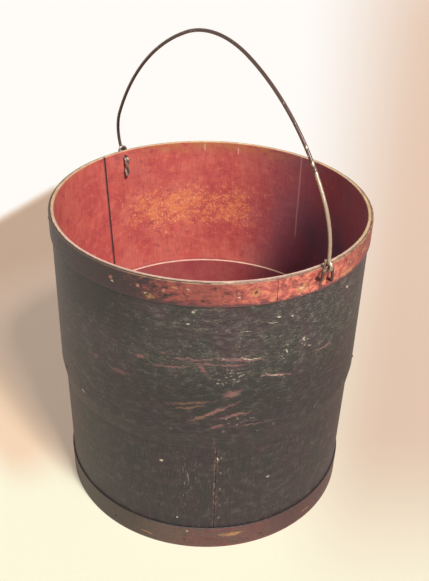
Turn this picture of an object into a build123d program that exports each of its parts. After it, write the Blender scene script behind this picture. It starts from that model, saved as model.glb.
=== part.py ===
"""A bentwood pail with a swinging wire bail, built piece by piece.

The pail stands on z = 0 with its axis on Z. Its bail hooks into two wire ears on the X axis, the
front one on +X and the rear one on -X, turns about the line between them, and stands upright.
Lengths are in millimetres and angles in degrees. Azimuths run from +X towards +Y.
"""

import os
from math import acos, atan2, copysign, cos, degrees, hypot, radians, sin, tan

from build123d import *

# The pail as a whole
pail_height = 305.6
rim_radius = 150.0
sheet_gap = 0.1
cut_overrun = 2.0

# Rim hoop, the band outside the rim
rim_hoop_thickness = 1.6
rim_hoop_height = 22.4
rim_hoop_drop = 0.7
rim_hoop_round = 0.7
rim_hoop_chamfer = 0.3
rim_hoop_lap_length = 52.0
rim_hoop_lap_azimuth = -16.6
rim_hoop_lap_tip = 0.55
rim_hoop_lap_mouth = 0.5

# Lower wall, the bent sheet that reaches the foot and tapers towards it
lower_wall_thickness = 3.0
lower_wall_height = 160.0
lower_wall_round = 0.6
lower_wall_foot_inset = 1.8
lower_lap_length = 60.0
lower_lap_azimuth = -33.7
lower_lap_tip = 1.0
lower_lap_outer_mouth = 0.7
lower_lap_inner_mouth = 0.5

# Upper wall, the bent sheet that carries the rim, outside the lower one where they overlap
upper_wall_thickness = 3.3
upper_wall_round = 0.9
upper_wall_feather = 0.6
wall_overlap = 30.0
overlap_land = 12.0
taper_land = 6.0
upper_lap_length = 71.3
upper_lap_azimuth_top = 164.1
upper_lap_azimuth_bottom = 160.1
upper_lap_tip = 1.0
upper_lap_outer_mouth = 0.6
upper_lap_inner_mouth = 1.8

# The slit between the two thinned ends of a bent sheet
lap_slit = 0.25

# Bottom hoop, the band outside the foot
bottom_hoop_thickness = 1.5
bottom_hoop_height = 26.5
bottom_hoop_round = 0.7
bottom_hoop_chamfer = 0.4
bottom_hoop_lap_length = 45.0
bottom_hoop_lap_azimuth = 118.0
bottom_hoop_lap_tip = 0.5
bottom_hoop_lap_mouth = 0.4

# Floor, two boards set in from the foot
floor_recess = 5.0
floor_thickness = 10.0
floor_clearance = 0.15
floor_joint_gap = 0.3
floor_joint_offset = 14.0
floor_joint_chamfer = 0.8

# Tacks through the sheets
tack_head_radius = 1.8
tack_head_height = 0.7
tack_head_seat = 0.05
tack_shank_radius = 0.65
tack_point_length = 1.4
tack_point_radius = 0.25
tack_short = 0.5
hole_clearance = 0.05
hole_end_gap = 0.1

rim_tack_drop = 10.0
rim_tack_front_azimuths = [-70.2, -60.3, -51.9, -29.2, -11.0, -8.4]
rim_tack_rear_azimuths = [14.0 + 19.0 * i for i in range(14)]
lost_tack_azimuth = -23.6
overlap_tack_drop = 7.5
overlap_tack_azimuths = [-86.0 + 18.0 * i for i in range(20)]
lap_tack_inset = 4.0
lower_seam_tack_shares = [0.13, 0.29, 0.50, 0.70, 0.88]
upper_seam_tack_shares = [0.12, 0.31, 0.50, 0.69, 0.88]
bottom_hoop_tack_height = 19.0

# Nails through the bottom hoop and the lower wall into the edges of the floor boards
nail_head_radius = 1.15
nail_head_height = 0.6
nail_head_sink = 0.1
nail_shank_radius = 0.8
nail_point_length = 3.0
nail_point_radius = 0.3
nail_bite = 13.0
floor_nail_azimuths = [-75.0 + 30.0 * i for i in range(12)]

# Ears, two wire loops whose legs pass through the rim and are twisted together inside it
ear_wire_radius = 1.3
ear_front_eye_radius = 5.4
ear_rear_eye_radius = 4.0
ear_eye_stand_off = 5.0
ear_eye_drop = 3.0
ear_strand_gap = 0.12
ear_bore_clearance = 0.25
ear_tail_clearance = 0.3
ear_tail_lead = 3.2
ear_knee_radius = 2.0
ear_bend_radius = 2.2
ear_twist_pitch = 24.0
ear_twist_corner_count = 12
ear_run_share = 0.45
ear_end_round = 0.5
ear_front_knee_offsets = (6.0, -6.6)
ear_front_knee_drops = (10.5, 6.2)
ear_rear_knee_lean = 3.0
ear_rear_knee_drop = 4.6
ear_front_tail_counts = (9, 10)
ear_rear_tail_counts = (9, 8)

# Bail, one wire bent to an arch, with a hook at each end; shares of its reach and rise
bail_wire_radius = 1.6
bail_rise = 156.1
bail_hook_clearance = 0.3
bail_front_tip_length = 4.5
bail_rear_tip_length = 1.0
bail_end_round = 0.7
bail_front_shares = [(0.278, 0.9450), (0.924, 0.370), (0.998, 0.086)]
bail_rear_shares = [(0.278, 0.9450), (1.018, 0.2635)]

# Radii, heights and lengths that follow from the sizes above
rim_hoop_inner = rim_radius - rim_hoop_thickness
rim_hoop_top = pail_height - rim_hoop_drop
rim_hoop_bottom = pail_height - rim_hoop_height
upper_wall_outer = rim_hoop_inner - sheet_gap
upper_wall_inner = upper_wall_outer - upper_wall_thickness
upper_wall_bottom = lower_wall_height - wall_overlap
bevel_top = lower_wall_height - overlap_land
lower_wall_outer = upper_wall_inner - sheet_gap
taper_height = upper_wall_bottom - taper_land
floor_top = floor_recess + floor_thickness
hinge_height = pail_height - ear_eye_drop
eye_centre_radius = rim_radius + ear_eye_stand_off
strand_offset = ear_wire_radius + ear_strand_gap / 2
ear_leg_bore_radius = ear_wire_radius + ear_bore_clearance
ear_pair_bore_radius = strand_offset + ear_leg_bore_radius
ear_tail_radius = upper_wall_inner - ear_tail_clearance - ear_wire_radius - strand_offset
ear_tail_depth = eye_centre_radius - ear_tail_radius
hook_radius = bail_wire_radius + ear_wire_radius + bail_hook_clearance
tack_hole_radius = tack_shank_radius + hole_clearance
nail_hole_radius = nail_shank_radius + hole_clearance
nail_sink_radius = nail_head_radius + hole_clearance
nail_sink_depth = nail_head_sink + nail_head_height + tack_head_seat
rim_bore_depth = rim_radius - upper_wall_inner + cut_overrun
rim_tack_length = rim_radius - upper_wall_inner - tack_short
overlap_tack_length = upper_wall_thickness + sheet_gap + lower_wall_thickness - tack_short
lower_seam_tack_length = lower_wall_thickness - tack_short
upper_seam_tack_length = upper_wall_thickness - tack_short
bottom_hoop_tack_length = bottom_hoop_thickness + sheet_gap + lower_wall_thickness - tack_short
nail_length = bottom_hoop_thickness + sheet_gap + lower_wall_thickness + floor_clearance + nail_bite


def polar(radius, azimuth):
    """The point of a level plane at this radius and azimuth."""
    return (radius * cos(radians(azimuth)), radius * sin(radians(azimuth)))


def arc_angle(length, radius):
    """The angle that an arc of this length spans at this radius."""
    return degrees(length / radius)


def lower_wall_radius(height):
    """Outer radius of the lower wall at this height."""
    return lower_wall_outer - lower_wall_foot_inset * max(1 - height / taper_height, 0)


def bottom_hoop_radius(height):
    """Outer radius of the bottom hoop at this height."""
    return lower_wall_radius(height) + sheet_gap + bottom_hoop_thickness


def upper_lap_azimuth(height):
    """Azimuth of the outer edge of the upper wall's lap, which leans."""
    share = (height - upper_wall_bottom) / (pail_height - upper_wall_bottom)
    return upper_lap_azimuth_bottom + share * (upper_lap_azimuth_top - upper_lap_azimuth_bottom)


def outward(radius, azimuth, height):
    """The plane at this radius, azimuth and height that looks out from the pail's axis."""
    return Plane(origin=(*polar(radius, azimuth), height), z_dir=(*polar(1, azimuth), 0))


def lap_section(height, outer, thickness, azimuth, length, tip, outer_mouth, inner_mouth):
    """The slit between the two thinned ends of a bent sheet, as a level section.

    It opens in a groove on the outer face, before the azimuth, slants through the sheet over the
    lap's length, and opens in a second groove on the inner face. Each end keeps a blunt tip.
    """
    inner = outer - thickness
    end = azimuth + arc_angle(length, outer)
    middle = (azimuth + end) / 2
    start_side = azimuth - arc_angle(outer_mouth, outer)
    end_side = end + arc_angle(inner_mouth, inner)
    upper_start, lower_start = outer - tip + lap_slit / 2, outer - tip - lap_slit / 2
    upper_end, lower_end = inner + tip + lap_slit / 2, inner + tip - lap_slit / 2
    with BuildSketch(Plane.XY.offset(height)) as section:
        with BuildLine():
            Polyline(
                polar(lower_start, start_side),
                polar(outer + cut_overrun, start_side),
                polar(outer + cut_overrun, azimuth),
                polar(upper_start, azimuth),
            )
            ThreePointArc(
                polar(upper_start, azimuth),
                polar((upper_start + upper_end) / 2, middle),
                polar(upper_end, end_side),
            )
            Polyline(
                polar(upper_end, end_side),
                polar(inner - cut_overrun, end_side),
                polar(inner - cut_overrun, end),
                polar(lower_end, end),
            )
            ThreePointArc(
                polar(lower_end, end),
                polar((lower_start + lower_end) / 2, middle),
                polar(lower_start, start_side),
            )
        make_face()
    return section.sketch


def pin(head_radius, head_height, seat, shank_radius, length, point_radius, point_length):
    """A tack or a nail along Z: a domed head that starts at the seat, and a pointed shank below."""
    with BuildPart() as one:
        with BuildSketch(Plane.XZ):
            with BuildLine():
                Polyline(
                    (head_radius, seat),
                    (shank_radius, seat),
                    (shank_radius, point_length - length),
                    (point_radius, -length),
                    (0, -length),
                    (0, seat + head_height),
                )
                TangentArc((0, seat + head_height), (head_radius, seat), tangent=(1, 0))
            make_face()
        revolve(axis=Axis.Z)
    return one.part


def tack(length):
    """A tack that goes this far into the wood."""
    return pin(
        tack_head_radius,
        tack_head_height,
        tack_head_seat,
        tack_shank_radius,
        length,
        tack_point_radius,
        tack_point_length,
    )


def seam_heights(shares, low, high):
    """Heights of the tacks of a seam that runs between these two heights."""
    return [low + share * (high - low) for share in shares]


# Places of the tacks and nails, as planes on the faces that they are driven into
rim_tack_planes = [
    outward(rim_radius, azimuth, pail_height - rim_tack_drop)
    for azimuth in rim_tack_front_azimuths + rim_tack_rear_azimuths
]
lost_tack_plane = outward(rim_radius, lost_tack_azimuth, pail_height - rim_tack_drop)
overlap_tack_planes = [
    outward(upper_wall_outer, azimuth, lower_wall_height - overlap_tack_drop)
    for azimuth in overlap_tack_azimuths
]
lower_seam_azimuth = lower_lap_azimuth + arc_angle(lap_tack_inset, lower_wall_outer)
lower_seam_planes = [
    outward(lower_wall_radius(height), lower_seam_azimuth, height)
    for height in seam_heights(lower_seam_tack_shares, bottom_hoop_height, upper_wall_bottom)
]
upper_seam_inset = arc_angle(lap_tack_inset, upper_wall_outer)
upper_seam_planes = [
    outward(upper_wall_outer, upper_lap_azimuth(height) + upper_seam_inset, height)
    for height in seam_heights(upper_seam_tack_shares, lower_wall_height, rim_hoop_bottom)
]
bottom_hoop_tack_planes = [
    outward(
        bottom_hoop_radius(bottom_hoop_tack_height),
        bottom_hoop_lap_azimuth + arc_angle(inset, lower_wall_outer),
        bottom_hoop_tack_height,
    )
    for inset in (lap_tack_inset, 3 * lap_tack_inset)
]
nail_height = floor_recess + floor_thickness / 2
nail_planes = [
    outward(bottom_hoop_radius(nail_height), azimuth, nail_height) for azimuth in floor_nail_azimuths
]

# The legs of each ear turn in to the pail at their knees, across and below the eye's centre
ear_front_knees = [
    (across, -drop) for across, drop in zip(ear_front_knee_offsets, ear_front_knee_drops)
]
ear_rear_knees = [
    (ear_rear_knee_lean + strand_offset, -ear_rear_knee_drop),
    (ear_rear_knee_lean - strand_offset, -ear_rear_knee_drop),
]


def ear_plane(azimuth):
    """The plane of an ear's eye: across, up and out from the pail, from the eye's centre."""
    return Plane(
        origin=(*polar(eye_centre_radius, azimuth), hinge_height),
        x_dir=(*polar(1, azimuth + 90), 0),
        z_dir=(*polar(1, azimuth), 0),
    )


def bore_plane(azimuth, across, up):
    """The plane of a bore through the rim, across and above the centre of the ear's eye."""
    eye = ear_plane(azimuth)
    start = eye.from_local_coords(Vector(across, up, -ear_eye_stand_off))
    return Plane(origin=start, z_dir=eye.z_dir)


# The bores that the ears' legs pass through: one for each front leg, and one for both rear legs
ear_leg_bore_planes = [bore_plane(0, across, up) for across, up in ear_front_knees]
ear_pair_bore_planes = [bore_plane(180, ear_rear_knee_lean, -ear_rear_knee_drop)]


def twist_point(side, offset, turned, start):
    """A point of a tail twisted from this start, this far from its axis and turned by this angle."""
    across, up = start
    return (
        across + side * offset * cos(radians(turned)),
        up - ear_twist_pitch * turned / 360,
        -ear_tail_depth - side * offset * sin(radians(turned)),
    )


def ear_leg(side, eye_radius, knee, start, count):
    """Points of a leg: off the eye on a tangent, in through its bore, down, and round the twist."""
    across, up = knee
    wrap = side * acos(eye_radius / hypot(across, up))
    tangent_angle = atan2(across, -up) + wrap
    step = 360 / ear_twist_corner_count
    corner_offset = strand_offset / cos(radians(step / 2))
    return [
        (eye_radius * sin(tangent_angle), -eye_radius * cos(tangent_angle), 0),
        (across, up, 0),
        (across, up, -ear_tail_depth),
        twist_point(side, strand_offset, 0, start),
        *[twist_point(side, corner_offset, (i + 0.5) * step, start) for i in range(count)],
        twist_point(side, strand_offset, count * step, start),
    ]


def leg_radii(points):
    """Bend radii of a leg: its knee, its bend, and in its twist as large as the runs allow."""
    radii = [ear_knee_radius, ear_bend_radius]
    places = [Vector(*point) for point in points[2:]]
    for before, corner, after in zip(places, places[1:], places[2:]):
        run_in, run_out = corner - before, after - corner
        half_turn = radians(run_in.get_angle(run_out)) / 2
        radii.append(ear_run_share * min(run_in.length, run_out.length) / tan(half_turn))
    return radii


def ear_path(azimuth, eye_radius, knees, twist_across, tail_counts):
    """The centre line of an ear, one wire bent round its eye and back."""
    start = (twist_across, min(up for _, up in knees) - ear_tail_lead)
    legs = [
        ear_leg(side, eye_radius, knee, start, count)
        for side, knee, count in zip((1, -1), knees, tail_counts)
    ]
    with BuildLine(ear_plane(azimuth)) as path:
        for points in legs:
            FilletPolyline(*points, radius=leg_radii(points))
        ThreePointArc(legs[0][0], (0, eye_radius, 0), legs[1][0])
    return path.wires()[0]


def bail_side(azimuth, shares, eye_radius, tip_length):
    """The centre line of half the bail, from the middle of its crown to the tip of its hook.

    Tangent arcs run through the points that the shares name. The last arc flares until it touches
    the hook's circle, which goes round the top of the ear's eye and ends in a short upright tip.
    """
    plane = Plane(
        origin=(0, 0, hinge_height), x_dir=(*polar(1, azimuth), 0), z_dir=(*polar(1, azimuth - 90), 0)
    )
    points = [(across * eye_centre_radius, up * bail_rise) for across, up in shares]
    hook_centre = plane.from_local_coords(Vector(eye_centre_radius, eye_radius))
    with BuildLine(plane) as side:
        bend = TangentArc((0, bail_rise), points[0], tangent=plane.x_dir)
        for point in points[1:]:
            bend = TangentArc(bend @ 1, point, tangent=bend % 1)
        to_hook = hook_centre - bend @ 1
        inward = plane.z_dir.cross(bend % 1)
        flare_radius = (to_hook.dot(to_hook) - hook_radius**2) / (2 * (to_hook.dot(inward) + hook_radius))
        to_flare_centre = inward * flare_radius - to_hook
        touch = hook_centre + to_flare_centre.normalized() * copysign(hook_radius, flare_radius)
        flare = TangentArc(bend @ 1, touch, tangent=bend % 1)
        heading = flare % 1
        turn = degrees(atan2(heading.dot(plane.y_dir), heading.dot(plane.x_dir))) - 90
        hook = JernArc(flare @ 1, heading, hook_radius, -(turn % 360))
        Line(hook @ 1, hook @ 1 + plane.y_dir * tip_length)
    return side.line


def bent_wire(path, wire_radius, end_round):
    """A round wire along this path, its ends rounded."""
    with BuildPart() as wire:
        with BuildSketch(Plane(origin=path @ 0, z_dir=path % 0)):
            Circle(wire_radius)
        sweep(path=path)
        fillet(faces().filter_by(GeomType.PLANE).edges(), radius=end_round)
    return wire.part


# Lower wall: a sheet bent to a ring, its ends lapped at the front
lower_lap_sections = [
    lap_section(
        height,
        lower_wall_radius(height),
        lower_wall_thickness,
        lower_lap_azimuth,
        lower_lap_length,
        lower_lap_tip,
        lower_lap_outer_mouth,
        lower_lap_inner_mouth,
    )
    for height in (-cut_overrun, taper_height, lower_wall_height + cut_overrun)
]
with BuildPart() as lower_wall:
    with BuildSketch(Plane.XZ):
        with BuildLine():
            Polyline(
                (lower_wall_radius(0), 0),
                (lower_wall_outer, taper_height),
                (lower_wall_outer, lower_wall_height),
                (lower_wall_outer - lower_wall_thickness, lower_wall_height),
                (lower_wall_outer - lower_wall_thickness, taper_height),
                (lower_wall_radius(0) - lower_wall_thickness, 0),
                close=True,
            )
        make_face()
    revolve(axis=Axis.Z)
    fillet(edges().group_by(Axis.Z)[-1], radius=lower_wall_round)
    loft(lower_lap_sections, ruled=True, mode=Mode.SUBTRACT)
    with Locations(*overlap_tack_planes):
        Hole(tack_hole_radius, depth=overlap_tack_length + hole_end_gap)
    with Locations(*lower_seam_planes):
        Hole(tack_hole_radius, depth=lower_seam_tack_length + hole_end_gap)
    with Locations(*bottom_hoop_tack_planes):
        Hole(tack_hole_radius, depth=bottom_hoop_tack_length + hole_end_gap)
    with Locations(*nail_planes):
        Hole(nail_hole_radius, depth=nail_length + hole_end_gap)

# Upper wall: a sheet outside the lower one, its lower edge planed to a feather
upper_lap_sections = [
    lap_section(
        height,
        upper_wall_outer,
        upper_wall_thickness,
        upper_lap_azimuth(height),
        upper_lap_length,
        upper_lap_tip,
        upper_lap_outer_mouth,
        upper_lap_inner_mouth,
    )
    for height in (
        upper_wall_bottom - cut_overrun,
        (upper_wall_bottom + pail_height) / 2,
        pail_height + cut_overrun,
    )
]
with BuildPart() as upper_wall:
    with BuildSketch(Plane.XZ):
        with BuildLine():
            Polyline(
                (upper_wall_inner, upper_wall_bottom),
                (upper_wall_inner + upper_wall_feather, upper_wall_bottom),
                (upper_wall_outer, bevel_top),
                (upper_wall_outer, pail_height),
                (upper_wall_inner, pail_height),
                close=True,
            )
        make_face()
    revolve(axis=Axis.Z)
    fillet(edges().group_by(Axis.Z)[-1], radius=upper_wall_round)
    loft(upper_lap_sections, ruled=True, mode=Mode.SUBTRACT)
    with Locations(*ear_leg_bore_planes):
        Hole(ear_leg_bore_radius, depth=rim_bore_depth)
    with Locations(*ear_pair_bore_planes):
        Hole(ear_pair_bore_radius, depth=rim_bore_depth)
    with Locations(*rim_tack_planes, lost_tack_plane):
        Hole(tack_hole_radius, depth=rim_tack_length + hole_end_gap)
    with Locations(*overlap_tack_planes):
        Hole(tack_hole_radius, depth=overlap_tack_length + hole_end_gap)
    with Locations(*upper_seam_planes):
        Hole(tack_hole_radius, depth=upper_seam_tack_length + hole_end_gap)

# Rim hoop: a rounded band round the rim, its ends lapped at the front
rim_hoop_lap_section = lap_section(
    rim_hoop_bottom - cut_overrun,
    rim_radius,
    rim_hoop_thickness,
    rim_hoop_lap_azimuth,
    rim_hoop_lap_length,
    rim_hoop_lap_tip,
    rim_hoop_lap_mouth,
    rim_hoop_lap_mouth,
)
with BuildPart() as rim_hoop:
    with BuildSketch(Plane.XY.offset(rim_hoop_bottom)):
        Circle(rim_radius)
        Circle(rim_hoop_inner, mode=Mode.SUBTRACT)
    extrude(amount=rim_hoop_top - rim_hoop_bottom)
    outer_edges = edges().filter_by(GeomType.CIRCLE).group_by(SortBy.RADIUS)[-1]
    inner_edges = edges().filter_by(GeomType.CIRCLE).group_by(SortBy.RADIUS)[0]
    fillet(outer_edges, radius=rim_hoop_round)
    chamfer(inner_edges, length=rim_hoop_chamfer)
    extrude(rim_hoop_lap_section, amount=rim_hoop_height + 2 * cut_overrun, mode=Mode.SUBTRACT)
    with Locations(*ear_leg_bore_planes):
        Hole(ear_leg_bore_radius, depth=rim_bore_depth)
    with Locations(*ear_pair_bore_planes):
        Hole(ear_pair_bore_radius, depth=rim_bore_depth)
    with Locations(*rim_tack_planes, lost_tack_plane):
        Hole(tack_hole_radius, depth=rim_tack_length + hole_end_gap)

# Bottom hoop: a thinner band round the foot, its ends lapped at the back
bottom_hoop_lap_sections = [
    lap_section(
        height,
        bottom_hoop_radius(height),
        bottom_hoop_thickness,
        bottom_hoop_lap_azimuth,
        bottom_hoop_lap_length,
        bottom_hoop_lap_tip,
        bottom_hoop_lap_mouth,
        bottom_hoop_lap_mouth,
    )
    for height in (-cut_overrun, bottom_hoop_height + cut_overrun)
]
with BuildPart() as bottom_hoop:
    with BuildSketch(Plane.XZ):
        with BuildLine():
            Polyline(
                (bottom_hoop_radius(0), 0),
                (bottom_hoop_radius(bottom_hoop_height), bottom_hoop_height),
                (lower_wall_radius(bottom_hoop_height) + sheet_gap, bottom_hoop_height),
                (lower_wall_radius(0) + sheet_gap, 0),
                close=True,
            )
        make_face()
    revolve(axis=Axis.Z)
    top_edges = edges().group_by(Axis.Z)[-1].sort_by(SortBy.RADIUS)
    fillet(top_edges[-1], radius=bottom_hoop_round)
    chamfer(edges().group_by(Axis.Z)[0].sort_by(SortBy.RADIUS)[-1], length=bottom_hoop_chamfer)
    loft(bottom_hoop_lap_sections, ruled=True, mode=Mode.SUBTRACT)
    with Locations(*bottom_hoop_tack_planes):
        Hole(tack_hole_radius, depth=bottom_hoop_tack_length + hole_end_gap)
    with Locations(*nail_planes):
        Hole(nail_hole_radius, depth=nail_length + hole_end_gap)
        Hole(nail_sink_radius, depth=nail_sink_depth)


def floor_board(keep, joint_shift):
    """One of the two floor boards, on this side of the joint between them."""
    edge_inset = lower_wall_thickness + floor_clearance
    with BuildPart() as board:
        with BuildSketch(Plane.XZ):
            with BuildLine():
                Polyline(
                    (0, floor_recess),
                    (lower_wall_radius(floor_recess) - edge_inset, floor_recess),
                    (lower_wall_radius(floor_top) - edge_inset, floor_top),
                    (0, floor_top),
                    close=True,
                )
            make_face()
        revolve(axis=Axis.Z)
        split(bisect_by=Plane.YZ.offset(floor_joint_offset + joint_shift), keep=keep)
        chamfer(edges().filter_by(Axis.Y).sort_by(Axis.Z)[-1], length=floor_joint_chamfer)
        with Locations(*nail_planes):
            Hole(nail_hole_radius, depth=nail_length + hole_end_gap)
    return board.part


# Floor: two boards, butted along a joint in front of the middle
with BuildPart() as floor_board_front:
    add(floor_board(Keep.TOP, floor_joint_gap / 2))
with BuildPart() as floor_board_rear:
    add(floor_board(Keep.BOTTOM, -floor_joint_gap / 2))

# Ears: the front one on +X and the rear one on -X
ear_front_path = ear_path(0, ear_front_eye_radius, ear_front_knees, 0, ear_front_tail_counts)
ear_rear_path = ear_path(
    180, ear_rear_eye_radius, ear_rear_knees, ear_rear_knee_lean, ear_rear_tail_counts
)
with BuildPart() as ear_front:
    add(bent_wire(ear_front_path, ear_wire_radius, ear_end_round))
with BuildPart() as ear_rear:
    add(bent_wire(ear_rear_path, ear_wire_radius, ear_end_round))

# Bail: its two sides meet at the middle of the crown
with BuildLine() as bail_path:
    add(bail_side(0, bail_front_shares, ear_front_eye_radius, bail_front_tip_length))
    add(bail_side(180, bail_rear_shares, ear_rear_eye_radius, bail_rear_tip_length))
with BuildPart() as bail:
    add(bent_wire(bail_path.wires()[0], bail_wire_radius, bail_end_round))

# Tacks and nails
rim_tack = tack(rim_tack_length)
with BuildPart() as rim_tacks:
    with Locations(*rim_tack_planes):
        add(rim_tack)
overlap_tack = tack(overlap_tack_length)
with BuildPart() as overlap_tacks:
    with Locations(*overlap_tack_planes):
        add(overlap_tack)
lower_seam_tack = tack(lower_seam_tack_length)
with BuildPart() as lower_seam_tacks:
    with Locations(*lower_seam_planes):
        add(lower_seam_tack)
upper_seam_tack = tack(upper_seam_tack_length)
with BuildPart() as upper_seam_tacks:
    with Locations(*upper_seam_planes):
        add(upper_seam_tack)
bottom_hoop_tack = tack(bottom_hoop_tack_length)
with BuildPart() as bottom_hoop_tacks:
    with Locations(*bottom_hoop_tack_planes):
        add(bottom_hoop_tack)
floor_nail = pin(
    nail_head_radius,
    nail_head_height,
    -nail_head_sink - nail_head_height,
    nail_shank_radius,
    nail_length,
    nail_point_radius,
    nail_point_length,
)
with BuildPart() as floor_nails:
    with Locations(*nail_planes):
        add(floor_nail)

pieces = {
    "lower_wall": lower_wall,
    "upper_wall": upper_wall,
    "rim_hoop": rim_hoop,
    "bottom_hoop": bottom_hoop,
    "floor_board_front": floor_board_front,
    "floor_board_rear": floor_board_rear,
    "ear_front": ear_front,
    "ear_rear": ear_rear,
    "bail": bail,
    "rim_tacks": rim_tacks,
    "overlap_tacks": overlap_tacks,
    "lower_seam_tacks": lower_seam_tacks,
    "upper_seam_tacks": upper_seam_tacks,
    "bottom_hoop_tacks": bottom_hoop_tacks,
    "floor_nails": floor_nails,
}
os.makedirs("parts", exist_ok=True)
for piece_name, piece in pieces.items():
    piece.part.label = piece_name
    export_step(piece.part, f"parts/{piece_name}.step")
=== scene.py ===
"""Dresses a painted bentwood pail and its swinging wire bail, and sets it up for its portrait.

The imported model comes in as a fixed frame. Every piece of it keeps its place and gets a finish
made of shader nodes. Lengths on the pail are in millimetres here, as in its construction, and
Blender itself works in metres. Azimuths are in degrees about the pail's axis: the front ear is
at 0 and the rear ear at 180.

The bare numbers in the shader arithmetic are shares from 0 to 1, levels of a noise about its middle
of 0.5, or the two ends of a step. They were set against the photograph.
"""

import logging
import math
from collections.abc import Mapping, Sequence
from dataclasses import dataclass
from enum import Enum
from typing import TypeAlias

import bmesh
import bpy
from mathutils import Matrix, Vector

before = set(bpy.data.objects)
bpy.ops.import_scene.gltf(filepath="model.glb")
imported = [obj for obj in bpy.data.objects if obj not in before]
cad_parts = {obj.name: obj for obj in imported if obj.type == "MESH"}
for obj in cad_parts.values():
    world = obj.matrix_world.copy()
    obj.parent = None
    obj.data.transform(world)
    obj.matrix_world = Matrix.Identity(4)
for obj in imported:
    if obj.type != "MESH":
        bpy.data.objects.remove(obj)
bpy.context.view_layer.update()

LOG = logging.getLogger("pail")
MM_PER_M = 1000.0
LAMP_DISTANCE = 3.0
MARK_DEPTH = 20.0
MARK_DRIFT = (8.0, 8.0, 6.0)
NOISE_MIDDLE = (0.5, 0.5, 0.5)

Triple = tuple[float, float, float]
Colour = tuple[float, float, float]
Span = tuple[float, float]
Term: TypeAlias = "Signal | float | Triple"


@dataclass(frozen=True)
class Ring:
    """The size of a round CAD node.

    Attributes:
        radius: Its largest radius.
        bottom: The height of its lowest point.
        top: The height of its highest point.
    """

    radius: float
    bottom: float
    top: float

    @classmethod
    def of(cls, piece: str) -> "Ring":
        """Measures a node of the frame, to a tenth of a millimetre.

        Args:
            piece: The node's name.

        Returns:
            Its size.
        """
        points = [vertex.co * MM_PER_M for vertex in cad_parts[piece].data.vertices]
        radius = max(math.hypot(point.x, point.y) for point in points)
        heights = [point.z for point in points]
        return cls(round(radius, 1), round(min(heights), 1), round(max(heights), 1))


LOWER_WALL = Ring.of("lower_wall")
UPPER_WALL = Ring.of("upper_wall")


# Shader arithmetic


@dataclass(frozen=True)
class Signal:
    """A value that changes over a surface: one output socket, with Python's arithmetic.

    Attributes:
        bench: The bench whose node tree the socket belongs to.
        socket: The output socket that carries the value.
    """

    bench: "Bench"
    socket: bpy.types.NodeSocket

    def __add__(self, other: Term) -> "Signal":
        """Sum."""
        return self.bench.maths("ADD", self, other)

    def __radd__(self, other: Term) -> "Signal":
        """Sum, with the signal on the right."""
        return self.bench.maths("ADD", other, self)

    def __sub__(self, other: Term) -> "Signal":
        """Difference."""
        return self.bench.maths("SUBTRACT", self, other)

    def __rsub__(self, other: Term) -> "Signal":
        """Difference, with the signal on the right."""
        return self.bench.maths("SUBTRACT", other, self)

    def __mul__(self, other: Term) -> "Signal":
        """Product."""
        return self.bench.maths("MULTIPLY", self, other)

    def __truediv__(self, other: Term) -> "Signal":
        """Quotient."""
        return self.bench.maths("DIVIDE", self, other)

    def __pow__(self, power: float) -> "Signal":
        """Power."""
        return self.bench.maths("POWER", self, power)

    def at_least(self, other: "Signal | float") -> "Signal":
        """The larger of the two."""
        return self.bench.maths("MAXIMUM", self, other)

    def at_most(self, other: "Signal | float") -> "Signal":
        """The smaller of the two."""
        return self.bench.maths("MINIMUM", self, other)

    def step(self, low: float, high: float) -> "Signal":
        """Goes smoothly from 0 at low to 1 at high; low may be the larger."""
        ends = {"Value": self, "From Min": low, "From Max": high}
        return self.bench.node("ShaderNodeMapRange", {"interpolation_type": "SMOOTHSTEP"}, ends)

    def also(self, name: str) -> "Signal":
        """Another output of the same node."""
        return Signal(self.bench, self.socket.node.outputs[name])


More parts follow.
